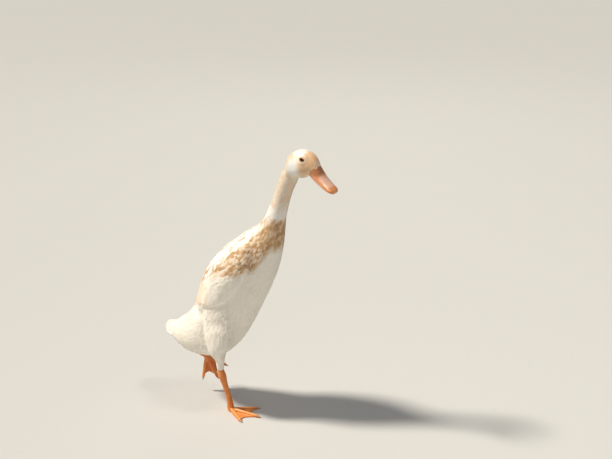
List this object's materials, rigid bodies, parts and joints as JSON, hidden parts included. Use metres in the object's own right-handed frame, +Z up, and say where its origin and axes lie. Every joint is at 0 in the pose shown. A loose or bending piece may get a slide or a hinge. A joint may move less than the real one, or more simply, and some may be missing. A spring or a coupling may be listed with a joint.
{
  "type": "indian runner duck",
  "caption": "Upright runner duck with long neck and folded wings, walking on its right foot with the left one lifted; still model.",
  "frame": {"origin": "on the floor, under the centre of the bird's box seen from above", "axes": "+X the way the duck faces, +Y its left side, +Z up"},
  "size_m": [0.41, 0.1454, 0.5754],
  "materials": {
    "plumage": "matte",
    "leg_skin": "satin",
    "claw_horn": "satin",
    "bill_horn": "satin",
    "eye": "gloss"
  },
  "bodies": {
    "root": {"trunk": "plumage", "neck": "plumage", "head": "plumage", "tail": "plumage", "tail_fan": "plumage", "wing_left": "plumage", "wing_right": "plumage", "flight_left": "plumage", "flight_right": "plumage", "thigh_left": "plumage", "thigh_right": "plumage", "shank_left": "leg_skin", "shank_right": "leg_skin", "foot_left": "leg_skin", "foot_right": "leg_skin", "hind_toe_left": "leg_skin", "hind_toe_right": "leg_skin", "claw_inner_left": "claw_horn", "claw_middle_left": "claw_horn", "claw_outer_left": "claw_horn", "claw_hind_left": "claw_horn", "claw_inner_right": "claw_horn", "claw_middle_right": "claw_horn", "claw_outer_right": "claw_horn", "claw_hind_right": "claw_horn", "bill_upper": "bill_horn", "bill_lower": "bill_horn", "eye_left": "eye", "eye_right": "eye"}
  },
  "joints": []
}
